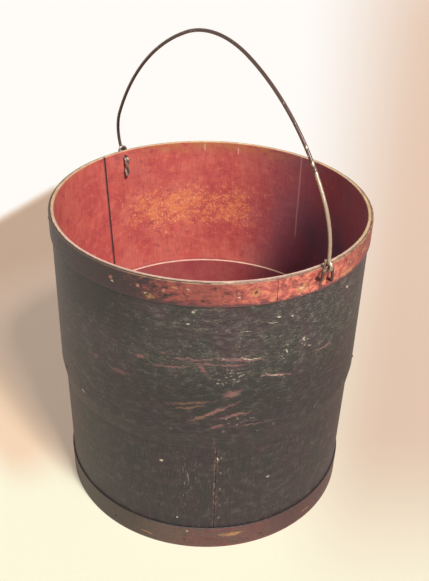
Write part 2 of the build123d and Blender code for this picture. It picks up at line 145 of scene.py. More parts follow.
class Bench:
    """The node tree of one material or world, where a finish is made up."""

    def __init__(self, holder: bpy.types.Material | bpy.types.World) -> None:
        """Empties the holder's node tree.

        Args:
            holder: The new material or world.
        """
        holder.use_nodes = True
        self.holder = holder
        self.tree = holder.node_tree
        self.tree.nodes.clear()

    def node(
        self,
        kind: str,
        settings: Mapping[str, object] | None = None,
        values: Mapping[str | int, object] | None = None,
    ) -> Signal:
        """Adds a node.

        Args:
            kind: Blender's type name of the node.
            settings: Its properties, set first.
            values: Its inputs by name, or by index among those in use: a signal or a constant.

        Returns:
            The node's first output in use.
        """
        node = self.tree.nodes.new(kind)
        for name, value in (settings or {}).items():
            setattr(node, name, value)
        used = [socket for socket in node.inputs if socket.enabled]
        for name, value in (values or {}).items():
            socket = used[name] if isinstance(name, int) else next(s for s in used if s.name == name)
            if isinstance(value, Signal):
                self.tree.links.new(value.socket, socket)
            elif socket.type == "RGBA":
                socket.default_value = (*value, 1.0)
            elif socket.type == "VECTOR" and isinstance(value, (int, float)):
                socket.default_value = (value, value, value)
            else:
                socket.default_value = value
        return Signal(self, next((s for s in node.outputs if s.enabled), None))

    def maths(self, operation: str, *terms: Term) -> Signal:
        """Adds the node of one operator: Vector Math where a term is a vector, else Math.

        Args:
            operation: Blender's name of the operator.
            terms: What it works on, in order.

        Returns:
            The result.
        """
        wide = any(
            isinstance(term, tuple) or isinstance(term, Signal) and term.socket.type in ("VECTOR", "RGBA")
            for term in terms
        )
        kind = "ShaderNodeVectorMath" if wide else "ShaderNodeMath"
        return self.node(kind, {"operation": operation}, dict(enumerate(terms)))

    def blend(self, share: Signal | float, base: Signal | Colour, over: Signal | Colour) -> Signal:
        """A colour that is base where share is 0 and over where it is 1."""
        settings = {"data_type": "RGBA", "clamp_factor": True}
        return self.node("ShaderNodeMix", settings, {"Factor": share, "A": base, "B": over})

    def tone(self, colour: Signal | Colour, level: Signal | float) -> Signal:
        """The colour made lighter or darker by a factor."""
        return self.maths("MULTIPLY", colour, level)

    def parts(self, vector: Signal) -> tuple[Signal, Signal, Signal]:
        """The three parts of a vector."""
        x = self.node("ShaderNodeSeparateXYZ", values={"Vector": vector})
        return x, x.also("Y"), x.also("Z")

    def looked_at(self) -> Signal:
        """1 for what the camera or a gloss sees, and 0 for what only lights the pail."""
        camera = self.node("ShaderNodeLightPath")
        return camera.at_least(camera.also("Is Glossy Ray")).at_least(camera.also("Is Transmission Ray"))


class Paint:
    """A colour that is built up in layers."""

    def __init__(self, bench: Bench, base: Signal | Colour) -> None:
        """Starts with the lowest layer."""
        self.bench = bench
        self.colour = base

    def lay(self, share: Signal | float, over: Signal | Colour) -> None:
        """Covers what is there, fully where share is 1."""
        self.colour = self.bench.blend(share, self.colour, over)

    def shade(self, level: Signal | float) -> None:
        """Makes it lighter or darker by a factor."""
        self.colour = self.bench.tone(self.colour, level)

    def finish(
        self, rough: Signal, relief: Signal, depth: float, metal: Signal | float = 0.0
    ) -> bpy.types.Material:
        """Ends the material in one Principled shader of this colour.

        Args:
            rough: How rough it is, from 0 to 1.
            relief: Its relief, about 0 to 1.
            depth: How deep the relief is, in millimetres.
            metal: How metallic it is, from 0 to 1.

        Returns:
            The material.
        """
        height = {"Strength": 0.6, "Distance": depth / MM_PER_M, "Height": relief}
        normal = self.bench.node("ShaderNodeBump", values=height)
        values = {"Base Color": self.colour, "Metallic": metal, "Roughness": rough, "Normal": normal}
        shader = self.bench.node("ShaderNodeBsdfPrincipled", values=values)
        self.bench.node("ShaderNodeOutputMaterial", values={"Surface": shader})
        return self.bench.holder


class Surface:
    """What a finish can ask about the point being shaded, in millimetres about the pail's axis."""

    def __init__(self, name: str) -> None:
        """Starts a material, and reads the point's place and the way its surface faces.

        Args:
            name: The material's name.
        """
        bench = Bench(bpy.data.materials.new(name))
        self.bench = bench
        coordinates = bench.node("ShaderNodeTexCoord")
        self.place = coordinates.also("Object") * MM_PER_M
        self.x, self.y, self.height = bench.parts(self.place)
        normal_x, normal_y, self.up = bench.parts(coordinates.also("Normal"))
        self.radius = (self.x * self.x + self.y * self.y) ** 0.5
        self.outward = (self.x * normal_x + self.y * normal_y) / self.radius

    def toward(self, azimuth: float) -> Signal:
        """1 on the side of the pail at that azimuth, falling to -1 on the side away from it."""
        turn = math.radians(azimuth)
        return (self.x * math.cos(turn) + self.y * math.sin(turn)) / self.radius

    def arc(self, start: float, end: float, soft: float = 4.0) -> Signal:
        """1 between two azimuths, fading over a few degrees at each.

        Args:
            start: The first azimuth.
            end: The last azimuth, which is larger.
            soft: How many degrees the fade takes.

        Returns:
            The mask.
        """
        half = (end - start) / 2
        edge = math.cos(math.radians(half + soft / 2))
        full = math.cos(math.radians(max(half - soft / 2, 0.0)))
        return self.toward((start + end) / 2).step(edge, full)

    def band(self, low: float, high: float, soft: float) -> Signal:
        """1 between two heights, fading over some millimetres at each."""
        return self.height.step(low - soft / 2, low + soft / 2) * self.height.step(
            high + soft / 2, high - soft / 2
        )

    def stripe(self, azimuth: float, width: float, soft: float = 0.7, lean: float = 0.0) -> Signal:
        """An upright stripe.

        Args:
            azimuth: Where it is at the rim.
            width: How wide it is.
            soft: How far each of its edges fades.
            lean: How far its line moves round the pail over each millimetre down from the rim.

        Returns:
            1 on the stripe and 0 off it.
        """
        turn = math.radians(azimuth)
        beside = self.y * math.cos(turn) - self.x * math.sin(turn)
        away = self.bench.maths("ABSOLUTE", beside + (UPPER_WALL.top - self.height) * lean)
        return away.step(width / 2 + soft, max(width / 2 - soft, 0.0)) * self.toward(azimuth).step(0.0, 0.1)

    def noise(
        self,
        size: float,
        stretch: Triple = (1.0, 1.0, 1.0),
        seed: float = 0.0,
        detail: float = 3.0,
        rough: float = 0.55,
    ) -> Signal:
        """Cloudy variation about 0.5.

        Args:
            size: How large its shapes are across.
            stretch: How much longer they are along each axis.
            seed: A shift that makes it differ from others of the same size.
            detail: How many finer layers it has.
            rough: How strong the finer layers are.

        Returns:
            The value.
        """
        scale = tuple(1.0 / (size * longer) for longer in stretch)
        shift = (seed * 17.3, seed * 9.1 + 4.7, seed * 23.9)
        moved = self.bench.maths("MULTIPLY_ADD", self.place, scale, shift)
        values = {"Vector": moved, "Scale": 1.0, "Detail": detail, "Roughness": rough}
        return self.bench.node("ShaderNodeTexNoise", values=values)


@dataclass(frozen=True)
class Mark:
    """A rubbed or scraped place on a wall, longest along its stroke.

    Attributes:
        azimuth: Where its middle is round the pail.
        height: How high its middle is.
        length: How long it is.
        width: How wide it is.
        force: How bare it is rubbed, 1 for fully.
        lean: The angle of its stroke above level, rising with the azimuth.
    """

    azimuth: float
    height: float
    length: float
    width: float
    force: float
    lean: float = 0.0

    def closeness(self, place: Signal, radius: float) -> Signal:
        """How near a point is to the middle of the mark.

        Args:
            place: The point.
            radius: The radius of the wall that carries the mark.

        Returns:
            The mark's force at its middle, falling by 1 to its edge.
        """
        turn = math.radians(self.azimuth)
        settings = {"vector_type": "TEXTURE"}
        values = {
            "Vector": place,
            "Location": (radius * math.cos(turn), radius * math.sin(turn), self.height),
            "Rotation": (0.0, -math.radians(self.lean), turn + math.pi / 2),
            "Scale": (self.length / 2, MARK_DEPTH, self.width / 2),
        }
        local = place.bench.node("ShaderNodeMapping", settings, values)
        return self.force - place.bench.maths("LENGTH", local).also("Value")


def closest(marks: Sequence[Mark], place: Signal, radius: float) -> Signal:
    """How near a point is to the nearest of a set of marks.

    Args:
        marks: The marks.
        place: The point.
        radius: The radius of the surface.

    Returns:
        That mark's force at its middle, falling by 1 to its edge.
    """
    nearest = marks[0].closeness(place, radius)
    for mark in marks[1:]:
        nearest = nearest.at_least(mark.closeness(place, radius))
    return nearest


def rubbed(surface: Surface, marks: Sequence[Mark], radius: float, seed: float = 0.0) -> Signal:
    """The mask of a set of marks, broken up along their strokes.

    Args:
        surface: The surface that carries them.
        marks: The marks.
        radius: The radius of that surface.
        seed: A shift for their broken edges.

    Returns:
        1 where the paint is rubbed off and 0 where it is whole.
    """
    wander = surface.bench.node(
        "ShaderNodeTexNoise",
        values={"Vector": surface.place * 0.16, "Scale": 1.0, "Detail": 3.0},
    ).also("Color")
    place = surface.place + (wander - NOISE_MIDDLE) * MARK_DRIFT
    scrape = surface.noise(1.1, (5.0, 5.0, 1.0), seed=seed + 3.0, detail=4, rough=0.7)
    return (closest(marks, place, radius) + (scrape - 0.5) * 3.2).step(-0.35, 0.6)


def flecked(surface: Surface, zones: Sequence[Mark], radius: float, stretch: Triple) -> Signal:
    """The mask of the small flecks that gather in some zones.

    Args:
        surface: The surface that carries them.
        zones: The zones.
        radius: The radius of that surface.
        stretch: How much longer a fleck is along each axis.

    Returns:
        1 on a fleck and 0 off it.
    """
    flecks = surface.noise(1.8, stretch, seed=13, rough=0.7)
    near = closest(zones, surface.place, radius)
    return (flecks + near.at_least(0.0).at_most(0.7) * 0.18).step(0.68, 0.77)


# Finishes


class Grain(Enum):
    """Which way the brush and the wood's fibres run on a wall."""

    ROUND = (6.0, 6.0, 1.0)
    UPRIGHT = (1.0, 1.0, 9.0)


@dataclass(frozen=True)
class OldWood:
    """The wood where it is bare: its colours, and how wide the grime along a worn edge is."""

    pale: Colour = (0.62, 0.44, 0.26)
    tan: Colour = (0.40, 0.24, 0.12)
    rosy: Colour = (0.66, 0.44, 0.37)
    brown: Colour = (0.085, 0.052, 0.036)
    grime_width: float = 0.8

    def colour(self, surface: Surface) -> Signal:
        """Bare wood with fine fibres.

        Args:
            surface: The surface.

        Returns:
            Its colour.
        """
        fibres = surface.noise(0.8, (10.0, 10.0, 1.0), seed=41, detail=4)
        clouds = surface.noise(14.0, seed=42)
        share = (fibres * 0.6 + clouds * 0.5).step(0.30, 0.75)
        return surface.bench.blend(share, self.tan, self.pale)

    def edge(self, surface: Surface, radius: float) -> Signal:
        """The top edge of a sheet, worn pale along its inner arris and grimy outside it.

        Args:
            surface: The surface.
            radius: The radius of the sheet's outer face.

        Returns:
            Its colour.
        """
        patchy = surface.noise(3.0, (3.0, 3.0, 1.0), seed=43, detail=4, rough=0.65)
        border = radius - self.grime_width
        grimy = (surface.radius + (patchy - 0.5) * 3.0).step(border - 0.4, border + 0.4)
        rosy_share = surface.arc(-108.0, 15.0, 40.0).at_least(surface.height.step(200.0, 180.0)) * 0.8
        bare = surface.bench.blend(rosy_share, self.colour(surface), self.rosy)
        return surface.bench.blend(grimy * 0.7, bare, self.brown)


@dataclass(frozen=True)
class OuterColours:
    """The colours of the dark outer coat and of what shows through it."""

    green_black: Colour = (0.025, 0.023, 0.022)
    purple_black: Colour = (0.042, 0.021, 0.028)
    lit: Colour = (0.080, 0.066, 0.056)
    deep: Colour = (0.022, 0.013, 0.016)
    dust: Colour = (0.125, 0.112, 0.095)
    grit: Colour = (0.22, 0.21, 0.18)
    thin: Colour = (0.105, 0.042, 0.042)
    seam: Colour = (0.19, 0.095, 0.080)
    pink: Colour = (0.225, 0.100, 0.098)
    ochre: Colour = (0.200, 0.092, 0.060)
    fleck: Colour = (0.34, 0.31, 0.26)
    chip: Colour = (0.50, 0.42, 0.34)


@dataclass(frozen=True)
class InnerColours:
    """The colours of the red inner coat, of what lies on it and of its painted shadow."""

    crimson: Colour = (0.50, 0.087, 0.081)
    scarlet: Colour = (0.62, 0.140, 0.110)
    lit: Colour = (0.68, 0.185, 0.125)
    deep: Colour = (0.38, 0.060, 0.072)
    # Painted shadow for the right side of the inside.
    painted_shadow: Colour = (0.100, 0.076, 0.128)
    low: Colour = (0.200, 0.040, 0.058)
    glow: Colour = (0.78, 0.262, 0.095)
    fleck: Colour = (0.95, 0.52, 0.32)
    under_rim: Colour = (0.46, 0.200, 0.075)
    line: Colour = (0.80, 0.44, 0.38)
    seam: Colour = (0.060, 0.050, 0.052)
    grime: Colour = (0.12, 0.034, 0.034)


@dataclass(frozen=True)
class WallPaint:
    """Dark paint outside, red paint inside and worn edges, on one bent sheet.

    Attributes:
        name: The material's name.
        ring: The size of the sheet.
        brush: Which way the outer coat was brushed.
        seam: The azimuth of the end of its outer lap, at the rim.
        seam_lean: How far that end moves round the pail over each millimetre down from the rim.
        pink_marks: Places rubbed down to the pink under-coat.
        ochre_marks: Places rubbed down to the ochre ground.
        pale_marks: Small chips.
        fleck_zones: Zones where pale flecks gather.
        fleck_stretch: How much longer those flecks are along each axis.
        fleck_force: How strongly they show, from 0 to 1.
        outside: The colours of the outer coat.
        inside: The colours of the inner coat.
        wood: The wood beneath.
    """

    name: str
    ring: Ring
    brush: Grain
    seam: float
    seam_lean: float
    pink_marks: tuple[Mark, ...]
    ochre_marks: tuple[Mark, ...]
    pale_marks: tuple[Mark, ...]
    fleck_zones: tuple[Mark, ...]
    fleck_stretch: Triple
    fleck_force: float
    outside: OuterColours = OuterColours()
    inside: InnerColours = InnerColours()
    wood: OldWood = OldWood()

    def outer_coat(self, surface: Surface, mottle: Signal, brush: Signal) -> Paint:
        """The dark outer paint, dusty and uneven.

        Args:
            surface: The surface to paint.
            mottle: The mottling of the whole sheet.
            brush: Its brush strokes.

        Returns:
            The paint.
        """
        colours = self.outside
        green_side = surface.arc(-58.0, 40.0, 60.0) * surface.height.step(165.0, 225.0)
        clouds = surface.noise(42.0, (1.0, 1.0, 1.3), seed=1, detail=4) - green_side * 0.15 + 0.10
        paint = Paint(surface.bench, colours.green_black)
        paint.lay(clouds.step(0.40, 0.60), colours.purple_black)
        paint.lay(mottle.step(0.52, 0.64) * 0.8, colours.lit)
        paint.lay(mottle.step(0.49, 0.38) * 0.8, colours.deep)
        paint.shade((brush * 3.6 - 0.75).at_least(0.25))
        dust = surface.noise(0.9, self.brush.value, seed=10, detail=4, rough=0.75).step(0.50, 0.66)
        paint.lay(dust * (0.08 + green_side * 0.34), colours.dust)
        grit = surface.noise(1.3, (1.6, 1.6, 1.0), seed=9, detail=2, rough=0.65).step(0.57, 0.70)
        grit_share = mottle.step(0.40, 0.60) * (0.25 + green_side * 0.45)
        paint.lay(grit * grit_share, colours.grit)
        thin = surface.noise(12.0, (2.4, 2.4, 1.0), seed=8, detail=5, rough=0.7).step(0.59, 0.70)
        paint.lay(thin * 0.4, colours.thin)
        # Darker low on the front, and in a patch high on the left.
        darker_low_front = surface.arc(-82.0, 50.0, 50.0) * surface.height.step(240.0, 185.0)
        darker_left_patch = surface.arc(-94.0, -66.0, 24.0) * surface.height.step(222.0, 262.0)
        paint.shade(0.95 - darker_low_front.at_least(darker_left_patch * 1.2) * 0.42)
        return paint

    def outer_wear(self, surface: Surface, paint: Paint) -> Signal:
        """Lays the worn lap, the rubbed places, the flecks and the chips on the outer coat.

        Args:
            surface: The surface to paint.
            paint: The outer coat.

        Returns:
            A mask of where the coat is rubbed off.
        """
        colours = self.outside
        dashes = surface.noise(2.2, (1.0, 1.0, 1.7), seed=14, rough=0.6).step(0.49, 0.55)
        worn_seam = surface.stripe(self.seam, 2.0, 0.7, self.seam_lean) * dashes
        paint.lay(worn_seam * 0.6, colours.seam)
        pink = rubbed(surface, self.pink_marks, self.ring.radius, 1.0)
        ochre = rubbed(surface, self.ochre_marks, self.ring.radius, 2.0)
        chips = rubbed(surface, self.pale_marks, self.ring.radius, 3.0)
        flecks = flecked(surface, self.fleck_zones, self.ring.radius, self.fleck_stretch)
        paint.lay(pink * 0.66, colours.pink)
        paint.lay(ochre * 0.58, colours.ochre)
        paint.lay(flecks * self.fleck_force, colours.fleck)
        paint.lay(chips * 0.85, colours.chip)
        return pink.at_least(ochre).at_least(chips)

    def inner_coat(self, surface: Surface, mottle: Signal) -> Paint:
        """The red inner paint, with its painted shadow on the right, its glowing patch and its dirt.

        Args:
            surface: The surface to paint.
            mottle: The mottling of the whole sheet.

        Returns:
            The paint.
        """
        colours = self.inside
        clouds = surface.noise(36.0, (1.0, 1.0, 1.4), seed=21, detail=5, rough=0.6)
        fibre = surface.noise(1.0, (1.0, 1.0, 14.0), seed=25, rough=0.6)
        paint = Paint(surface.bench, colours.crimson)
        paint.lay(clouds.step(0.38, 0.62), colours.scarlet)
        paint.lay(mottle.step(0.52, 0.66) * 0.6, colours.lit)
        paint.lay(mottle.step(0.46, 0.34) * 0.6, colours.deep)
        paint.shade(fibre * 0.8 + 0.61)
        # Painted shadow: the right side of the inside is painted much darker, most of all lower down,
        # mottled by the clouds.
        shadow_share = surface.arc(2.0, 112.0, 44.0) * (0.62 + surface.height.step(285.0, 205.0) * 0.38)
        shadow_share = shadow_share + (clouds - 0.5) * 0.8
        paint.lay(shadow_share * 0.93, colours.painted_shadow)
        low_down = surface.height.step(LOWER_WALL.top + 4.0, LOWER_WALL.top - 2.0)
        paint.lay(low_down * 0.55, colours.low)
        worn = surface.arc(122.0, 182.0, 26.0) * surface.band(198.0, 262.0, 50.0)
        speckle = surface.noise(2.4, (1.5, 1.5, 1.0), seed=22, rough=0.7)
        glow = (mottle * 0.7 + speckle * 0.6 + clouds * 0.3 + worn * 0.36).step(1.07, 1.26)
        paint.lay(glow * 0.72, colours.glow)
        flecks = (surface.noise(2.0, (1.2, 1.2, 1.0), seed=23, rough=0.7) + worn * 0.10).step(0.66, 0.78)
        paint.lay(flecks * 0.8, colours.fleck)
        under_rim = surface.height.step(290.0, 304.0) * surface.arc(112.0, 168.0, 24.0)
        paint.lay(under_rim * mottle.step(0.38, 0.56) * 0.8, colours.under_rim)
        ticks = (surface.stripe(145.3, 1.2) * surface.band(296.0, 303.0, 2.0)).at_least(
            surface.stripe(130.9, 1.2) * surface.band(293.0, 301.0, 2.0)
        )
        line = surface.stripe(101.7, 1.6, 0.8) * surface.height.step(206.0, 216.0) * 0.42
        paint.lay(line.at_least(ticks * 0.7), colours.line)
        above_ledge = surface.height.step(LOWER_WALL.top - 3.0, LOWER_WALL.top + 3.0)
        # A dark strip along the inner end of the lap, above the ledge.
        dark_seam_strip = surface.stripe(192.0, 2.8, 0.9, 0.0577) * above_ledge
        paint.lay(dark_seam_strip * 0.85, colours.seam)
        paint.lay(surface.height.step(70.0, 12.0) * 0.55, colours.grime)
        return paint

    def make(self) -> bpy.types.Material:
        """Makes the finish.

        Returns:
            The material.
        """
        surface = Surface(self.name)
        mottle = surface.noise(6.0, (1.6, 1.6, 1.0), seed=2, detail=5, rough=0.7)
        brush = surface.noise(1.2, self.brush.value, seed=5, detail=4, rough=0.7)
        outer = self.outer_coat(surface, mottle, brush)
        rubbed_off = self.outer_wear(surface, outer)
        paint = self.inner_coat(surface, mottle)
        paint.lay(surface.outward.step(-0.2, 0.2), outer.colour)
        wood = self.wood.edge(surface, self.ring.radius)
        arris = (surface.height + (mottle - 0.5) * 2.4).step(self.ring.top - 0.5, self.ring.top + 0.2)
        paint.lay(surface.up.step(0.35, 0.6).at_least(arris), wood)
        paint.lay(surface.up.step(-0.35, -0.6), self.wood.brown)
        crackle = surface.noise(0.7, seed=35, rough=0.7)
        relief = brush * 0.5 + mottle * 0.5 + crackle * 0.25 - rubbed_off * 0.2
        rough = 0.40 + mottle * 0.34 + rubbed_off * 0.12
        return paint.finish(rough, relief, 0.7)


@dataclass(frozen=True)
class HoopPaint:
    """Paint on a thin hoop, red over some of its round and dark over the rest, painted lighter on one arc.

    Attributes:
        name: The material's name.
        ring: The size of the hoop.
        red: The red coat.
        glow: The red coat where it is worn thin, laid thicker over the lit arc as painted light.
        dark: The dark coat.
        lower_lip: The colour of a narrow uneven border along its lower edge.
        lip_height: How far up that border reaches.
        upper_lip: The colour of its upper edge, partly dark paint and partly painted shade.
        red_arc: The azimuths between which the red shows.
        red_force: How fully the red covers that arc, 1.2 for all of it.
        lit_arc: The azimuths between which painted light makes it brightest.
        ochre_marks: Places rubbed down to the ochre ground.
        pale_marks: Small chips.
        rust_marks: Places where rust has run.
        top_wear: How far its top edge is worn, from 0 to 1.
        ochre: The colour of the ochre ground.
        chip: The colour of a chip.
        rust: The colour of run rust.
        wood: The wood beneath.
    """

    name: str
    ring: Ring
    red: Colour
    glow: Colour
    dark: Colour
    lower_lip: Colour
    lip_height: float
    upper_lip: Colour
    red_arc: tuple[float, float]
    red_force: float
    lit_arc: tuple[float, float]
    ochre_marks: tuple[Mark, ...]
    pale_marks: tuple[Mark, ...]
    rust_marks: tuple[Mark, ...]
    top_wear: float
    ochre: Colour = (0.46, 0.230, 0.085)
    chip: Colour = (0.62, 0.46, 0.32)
    rust: Colour = (0.075, 0.020, 0.018)
    wood: OldWood = OldWood()

    def coat(self, surface: Surface, streaks: Signal, mottle: Signal, zone: Signal) -> Paint:
        """The red and the dark coat, with the border below, and painted light over the lit arc.

        Args:
            surface: The surface to paint.
            streaks: Its brush strokes.
            mottle: Its mottling.
            zone: A mask of the red part.

        Returns:
            The paint.
        """
        lip_top = self.ring.bottom + self.lip_height
        clouds = surface.noise(16.0, (2.0, 2.0, 1.0), seed=54, detail=4, rough=0.6)
        lip = (surface.height + (mottle - 0.5) * 9.0).step(lip_top, lip_top - 2.8)
        spotty = (clouds - 0.5) * 1.4 + (mottle - 0.5) * 2.6
        red_share = (zone * self.red_force + spotty - 0.15).step(0.1, 0.9)
        paint = Paint(surface.bench, self.dark)
        paint.lay(red_share, self.red)
        # Painted light: over the lit arc the worn-thin red is laid more thickly, the dark mottling is
        # weaker and the coat is lighter; off it the coat is darkened to 0.6.
        sunny = surface.arc(*self.lit_arc, soft=26.0)
        paint.lay(mottle.step(0.44, 0.62) * red_share * (0.2 + sunny * 0.6), self.glow)
        # Dark mottling: partly grime, partly painted shade, as it is stronger off the lit arc.
        grimy = mottle.step(0.46, 0.34) * (0.85 - sunny * 0.4)
        paint.lay(grimy, surface.bench.tone(paint.colour, 0.45))
        paint.shade((streaks * 1.5 + 0.25) * (0.60 + sunny * 0.40))
        paint.lay(lip * (0.2 + zone * 0.65), self.lower_lip)
        return paint

    def make(self) -> bpy.types.Material:
        """Makes the finish.

        Returns:
            The material.
        """
        surface = Surface(self.name)
        streaks = surface.noise(1.1, (3.5, 3.5, 1.0), seed=51, detail=4, rough=0.7)
        mottle = surface.noise(4.2, (1.5, 1.5, 1.0), seed=52, detail=5, rough=0.7)
        zone = surface.arc(*self.red_arc, soft=44.0)
        paint = self.coat(surface, streaks, mottle, zone)
        ochre = rubbed(surface, self.ochre_marks, self.ring.radius, 4.0)
        chips = rubbed(surface, self.pale_marks, self.ring.radius, 5.0)
        rust = rubbed(surface, self.rust_marks, self.ring.radius, 6.0)
        paint.lay(ochre * 0.65, self.ochre)
        paint.lay(chips * 0.75, self.chip)
        paint.lay(rust * 0.85, self.rust)
        # A dark band along the top edge: partly dark paint, partly painted shade where the hoop meets the
        # wall.
        upper = (surface.height + (mottle - 0.5) * 1.6).step(self.ring.top - 0.7, self.ring.top - 0.1)
        paint.lay(upper * 0.8, self.upper_lip)
        worn_top = mottle.step(0.42, 0.54) * surface.arc(-60.0, 170.0, 40.0) * self.top_wear
        bare = surface.bench.blend(zone * self.top_wear * 0.6, self.upper_lip, self.red)
        bare = surface.bench.blend(worn_top, bare, self.wood.tan)
        paint.lay(surface.up.step(0.35, 0.7), bare)
        paint.lay(surface.up.step(-0.35, -0.7), self.wood.brown)
        relief = streaks * 0.5 + mottle * 0.5 - ochre * 0.2 - chips * 0.2
        return paint.finish(0.38 + mottle * 0.36, relief, 0.6)


@dataclass(frozen=True)
class BoardPaint:
    """Red paint on the upper face of the floor boards, bare wood on the lower one."""

    name: str
    red: Colour = (0.34, 0.064, 0.055)
    deep_red: Colour = (0.22, 0.052, 0.046)
    brown: Colour = (0.15, 0.095, 0.060)
    tan: Colour = (0.30, 0.20, 0.125)
    dirt: Colour = (0.11, 0.080, 0.058)

    def make(self) -> bpy.types.Material:
        """Makes the finish.

        Returns:
            The material.
        """
        surface = Surface(self.name)
        bench = surface.bench
        grain = surface.noise(1.6, (22.0, 1.0, 1.0), seed=61, detail=5, rough=0.6)
        clouds = surface.noise(40.0, (2.0, 1.0, 1.0), seed=62, detail=4)
        paint = Paint(bench, self.red)
        paint.lay(clouds.step(0.38, 0.64), self.deep_red)
        paint.shade(grain * 0.9 + 0.55)
        bare = bench.blend(grain.step(0.35, 0.62), self.brown, self.tan)
        bare = bench.blend(clouds.step(0.45, 0.62) * 0.5, bare, self.dirt)
        worn = surface.noise(9.0, (4.0, 1.0, 1.0), seed=63, detail=5, rough=0.7).step(0.62, 0.72)
        paint.lay(worn * 0.7, bare)
        paint.lay(surface.up.step(0.1, -0.3), bare)
        return paint.finish(0.5 + grain * 0.3, grain, 0.8)


@dataclass(frozen=True)
class OldIron:
    """Iron wire, brown with age, rusty in places, bare where it is rubbed, and painted lighter in places as
    a highlight.

    Attributes:
        name: The material's name.
        skin: The colour of its brown skin.
        metal: The colour of the metal where it is rubbed.
        rust: The colour of its rust.
        rust_share: How much of it is rusty, from 0 to 1.
        bare_share: How much of it is bare metal, from 0 to 1.
        rubbed_and_lit_below: Below this height its front ear's side shows wear and a painted highlight.
    """

    name: str
    skin: Colour = (0.085, 0.046, 0.036)
    metal: Colour = (0.48, 0.37, 0.28)
    rust: Colour = (0.20, 0.075, 0.040)
    rust_share: float = 0.3
    bare_share: float = 0.2
    rubbed_and_lit_below: float = 0.0

    def make(self) -> bpy.types.Material:
        """Makes the finish.

        Returns:
            The material.
        """
        surface = Surface(self.name)
        clouds = surface.noise(14.0, seed=71, detail=5)
        fine = surface.noise(1.4, seed=72, detail=5, rough=0.65)
        from_rust = 0.84 - 0.5 * self.rust_share
        rusty = (clouds * 0.7 + fine * 0.5).step(from_rust, from_rust + 0.14)
        # Painted highlight: low on the side toward the front ear the wire gets more bare metal, partly
        # rubbed wear.
        rubbed_and_lit_side = surface.x.step(60.0, 125.0)
        rubbed_and_lit_side = rubbed_and_lit_side * surface.height.step(self.rubbed_and_lit_below + 30.0, self.rubbed_and_lit_below - 20.0)
        patches = surface.noise(3.5, seed=73, detail=4) + rubbed_and_lit_side * 0.36
        from_bare = 0.72 - 0.4 * self.bare_share
        bare = patches.step(from_bare, from_bare + 0.12)
        paint = Paint(surface.bench, self.skin)
        paint.lay(rusty, self.rust)
        paint.lay(bare * 0.85, self.metal)
        paint.shade(fine * 0.7 + 0.65)
        metal = 0.45 + bare * 0.2 - rusty * 0.3
        return paint.finish(0.30 + rusty * 0.28, fine + rusty * 0.4, 0.3, metal)


@dataclass(frozen=True)
class TackHead:
    """An iron tack painted over with its neighbour's coat, its crown rubbed bright.

    Attributes:
        name: The material's name.
        coat: The colour of that coat.
        crown: The colour of the rubbed crown.
        rust: The colour of its rust.
    """

    name: str
    coat: Colour
    crown: Colour
    rust: Colour = (0.075, 0.036, 0.028)

    def make(self) -> bpy.types.Material:
        """Makes the finish.

        Returns:
            The material.
        """
        surface = Surface(self.name)
        fine = surface.noise(0.9, seed=81, detail=4)
        luck = surface.noise(24.0, seed=82, detail=1)
        rubbed_crown = (surface.outward + (fine - 0.5) * 0.5).step(0.90, 1.0) * luck.step(0.40, 0.56)
        rusty = surface.noise(2.0, seed=83).step(0.5, 0.62)
        paint = Paint(surface.bench, self.coat)
        paint.lay(rusty * 0.6, self.rust)
        paint.lay(rubbed_crown, self.crown)
        return paint.finish(0.5 + fine * 0.2, fine, 0.3, rubbed_crown * 0.4)


@dataclass(frozen=True)
class LongShade:
    """The pail's long shade, painted on the paper where the lamps throw too short a shadow.

    A span is the two ends of a fade, along the shade from the pail's axis or beside its middle.

    Attributes:
        fall: The way it falls, in degrees from the camera's right.
        reach: How far along it the key lamp's shadow goes.
        half_width: Half the width of that shadow.
        blur: How soft its end is for each millimetre along.
        least_blur: The least softness of that end.
        start: Where the shade begins, along it.
        near_edge: Its edge on the camera's side.
        far_side: Its edge on the other side.
        far_slope: How much deeper its far edge lies for each millimetre to the right.
        far_edge: How deep that edge lies behind the pail's axis.
        glow_start: Where the glow begins, along it.
        glow_edge: The glow's outer edge.
        near: The paper's colour inside the lamp's shadow.
        far: Its colour in the paler shade beyond.
        glow: Its colour along the near edge.
    """

    fall: float = 124.0
    reach: float = 285.0
    half_width: float = 150.0
    blur: float = 0.17
    least_blur: float = 12.0
    start: Span = (0.0, 60.0)
    near_edge: Span = (-164.0, -126.0)
    far_side: Span = (160.0, 130.0)
    far_slope: float = 1.9
    far_edge: Span = (1250.0, 1175.0)
    glow_start: Span = (20.0, 110.0)
    glow_edge: Span = (-225.0, -185.0)
    near: Colour = (0.86, 0.66, 0.515)
    far: Colour = (0.455, 0.325, 0.243)
    glow: Colour = (0.80, 0.60, 0.43)

    def lay(self, sheet: Signal, across: Signal, depth: Signal) -> Signal:
        """Paints the shade on the paper.

        Args:
            sheet: The paper's colour.
            across: How far a point is to the camera's right of the pail's axis.
            depth: How far it is behind that axis.

        Returns:
            The paper's colour with the shade.
        """
        bench = sheet.bench
        fall_across = math.cos(math.radians(self.fall))
        fall_depth = math.sin(math.radians(self.fall))
        along = across * fall_across + depth * fall_depth
        beside = across * fall_depth - depth * fall_across
        end = (beside * beside + (along - self.reach).at_least(0.0) ** 2.0) ** 0.5
        softness = (along * self.blur).at_least(self.least_blur)
        beyond = ((end - self.half_width) / softness).step(-1.0, 1.0)
        shade = bench.blend(beyond, self.near, self.far)
        within = beside.step(*self.far_side) * (depth - across * self.far_slope).step(*self.far_edge)
        glowing = beside.step(*self.glow_edge) * along.step(*self.glow_start)
        sheet = bench.blend(glowing * within, sheet, self.glow)
        shaded = beside.step(*self.near_edge) * along.step(*self.start)
        return bench.blend(shaded * within, sheet, shade)


